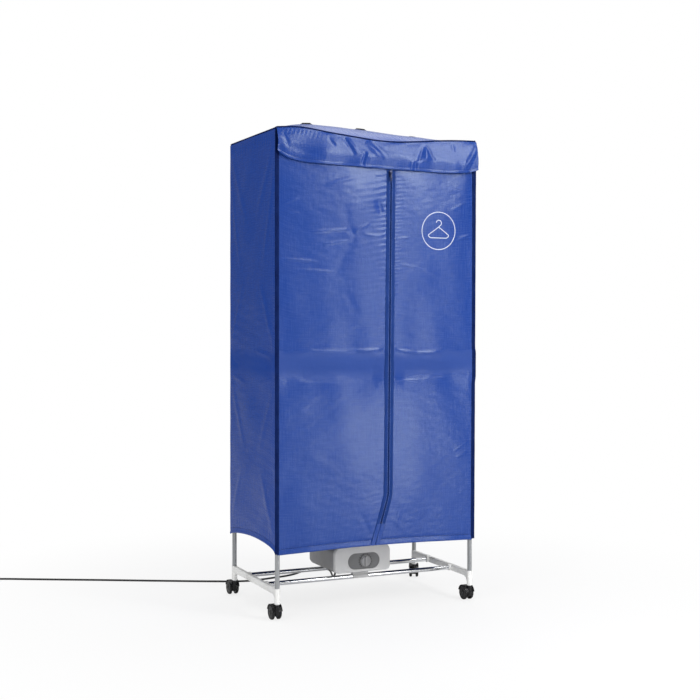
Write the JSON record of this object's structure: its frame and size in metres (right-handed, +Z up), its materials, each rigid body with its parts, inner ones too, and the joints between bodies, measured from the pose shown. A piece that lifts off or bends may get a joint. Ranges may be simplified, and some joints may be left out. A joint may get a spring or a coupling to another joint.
{
  "type": "drying cabinet",
  "caption": "Tall fabric drying cabinet: a zipped blue cover over a tube frame on swivel casters, with hanging rods and a small fan heater on the base rails.",
  "frame": {"origin": "on the floor, under the middle of the cabinet's overall box without its mains lead", "axes": "+Z up, -Y towards the zipped front, +X to the right of someone facing the front"},
  "size_m": [1.5003, 1.0004, 1.4964],
  "materials": {
    "frame_plastic": "satin moulded polypropylene",
    "pole_steel": "grey powder coat",
    "rail_chrome": "bright plated tube",
    "stem_steel": "zinc plated",
    "caster_black": "moulded nylon",
    "wheel_black": "moulded nylon",
    "heater_grey": "satin moulded housing",
    "bezel_grey": "satin moulded housing",
    "plate_grey": "printed plate",
    "knob_grey": "moulded knob",
    "inner_black": "moulded",
    "inner_ivory": "moulded phenolic",
    "element_metal": "corrugated fins",
    "cloth_blue": "woven nylon with a silvery sheen",
    "cloth_roof": "woven nylon with a silvery sheen",
    "binding_navy": "folded binding tape",
    "zip_navy": "coil zip on woven tape",
    "slider_navy": "enamelled die casting",
    "eyelet_black": "moulded",
    "lead_black": "soft PVC"
  },
  "bodies": {
    "cabinet": {"base_corner_front_left": "frame_plastic", "base_corner_front_right": "frame_plastic", "base_corner_rear_left": "frame_plastic", "base_corner_rear_right": "frame_plastic", "base_links": "frame_plastic", "rail_front": "rail_chrome", "rail_rear": "rail_chrome", "lower_poles": "pole_steel", "upper_poles": "pole_steel", "mid_bar_left": "frame_plastic", "mid_bar_right": "frame_plastic", "mid_rods": "rail_chrome", "top_bar_left": "frame_plastic", "top_bar_right": "frame_plastic", "top_rods": "rail_chrome", "caster_stems": "stem_steel", "heater_tub": "heater_grey", "heater_bezel": "bezel_grey", "heater_lid": "heater_grey", "control_plate": "plate_grey", "timer": "inner_ivory", "fan_motor": "inner_black", "heating_element": "element_metal", "thermal_cutout": "inner_ivory", "intake_grille": "inner_black", "strain_relief": "lead_black", "rail_saddles": "bezel_grey", "heater_screws": "stem_steel", "cover_left": "cloth_blue", "cover_right": "cloth_blue", "cover_back": "cloth_blue", "cover_roof": "cloth_roof", "cover_header": "cloth_blue", "corner_bindings": "binding_navy", "roof_piping": "binding_navy", "roof_vents": "eyelet_black", "mains_lead": "lead_black", "mains_plug": "lead_black"},
    "caster_front_left": {"caster_housing_front_left": "caster_black"},
    "wheels_front_left": {"caster_axle_front_left": "stem_steel", "caster_wheels_front_left": "wheel_black"},
    "caster_front_right": {"caster_housing_front_right": "caster_black"},
    "wheels_front_right": {"caster_axle_front_right": "stem_steel", "caster_wheels_front_right": "wheel_black"},
    "caster_rear_left": {"caster_housing_rear_left": "caster_black"},
    "wheels_rear_left": {"caster_axle_rear_left": "stem_steel", "caster_wheels_rear_left": "wheel_black"},
    "caster_rear_right": {"caster_housing_rear_right": "caster_black"},
    "wheels_rear_right": {"caster_axle_rear_right": "stem_steel", "caster_wheels_rear_right": "wheel_black"},
    "fan": {"fan_impeller": "inner_black"},
    "knob": {"timer_knob": "knob_grey"},
    "left_door": {"door_left": "cloth_blue", "zip_tape_left": "zip_navy"},
    "right_door": {"door_right": "cloth_blue", "zip_tape_right": "zip_navy"},
    "front_flap": {"flap": "cloth_blue"},
    "slider": {"zip_slider": "slider_navy"},
    "pull": {"zip_pull": "slider_navy"}
  },
  "joints": [
    {"name": "swivel_front_left", "type": "hinge", "parent": "cabinet", "child": "caster_front_left", "pos_m": [-0.33329, -0.19961, 0.04], "axis": [0, 0, 1], "continuous": true},
    {"name": "swivel_front_right", "type": "hinge", "parent": "cabinet", "child": "caster_front_right", "pos_m": [0.31671, -0.19961, 0.04], "axis": [0, 0, 1], "continuous": true},
    {"name": "swivel_rear_left", "type": "hinge", "parent": "cabinet", "child": "caster_rear_left", "pos_m": [-0.33329, 0.18039, 0.04], "axis": [0, 0, 1], "continuous": true},
    {"name": "swivel_rear_right", "type": "hinge", "parent": "cabinet", "child": "caster_rear_right", "pos_m": [0.31671, 0.18039, 0.04], "axis": [0, 0, 1], "continuous": true},
    {"name": "roll_front_left", "type": "hinge", "parent": "caster_front_left", "child": "wheels_front_left", "pos_m": [-0.33329, -0.17961, 0.022], "axis": [1, 0, 0], "continuous": true},
    {"name": "roll_front_right", "type": "hinge", "parent": "caster_front_right", "child": "wheels_front_right", "pos_m": [0.31671, -0.17961, 0.022], "axis": [1, 0, 0], "continuous": true},
    {"name": "roll_rear_left", "type": "hinge", "parent": "caster_rear_left", "child": "wheels_rear_left", "pos_m": [-0.33329, 0.20039, 0.022], "axis": [1, 0, 0], "continuous": true},
    {"name": "roll_rear_right", "type": "hinge", "parent": "caster_rear_right", "child": "wheels_rear_right", "pos_m": [0.32485, 0.19866, 0.022], "axis": [0.9135, -0.4067, 0], "continuous": true},
    {"name": "fan_spin", "type": "hinge", "parent": "cabinet", "child": "fan", "pos_m": [-0.02029, -0.00061, 0.12], "axis": [0, 0, 1], "continuous": true},
    {"name": "timer_turn", "type": "hinge", "parent": "cabinet", "child": "knob", "pos_m": [-0.01129, -0.12161, 0.1376], "axis": [0, 1, 0], "range_deg": [0, 300]},
    {"name": "left_door_swing", "type": "hinge", "parent": "cabinet", "child": "left_door", "pos_m": [-0.33184, -0.21011, 0.7], "axis": [0, 0, -1], "range_deg": [0, 120]},
    {"name": "right_door_swing", "type": "hinge", "parent": "cabinet", "child": "right_door", "pos_m": [0.31526, -0.21011, 0.7], "axis": [0, 0, 1], "range_deg": [0, 120]},
    {"name": "flap_lift", "type": "hinge", "parent": "cabinet", "child": "front_flap", "pos_m": [-0.00829, -0.21261, 1.458], "axis": [-1, 0, 0], "range_deg": [0, 110]},
    {"name": "zip_slide", "type": "slide", "parent": "left_door", "child": "slider", "axis": [-0.0104, 0, -0.9999], "range_m": [0, 0.95]},
    {"name": "pull_swing", "type": "hinge", "parent": "slider", "child": "pull", "pos_m": [0.03198, -0.21831, 1.33466], "axis": [-0.9999, 0, 0.0104], "range_deg": [0, 120]}
  ]
}
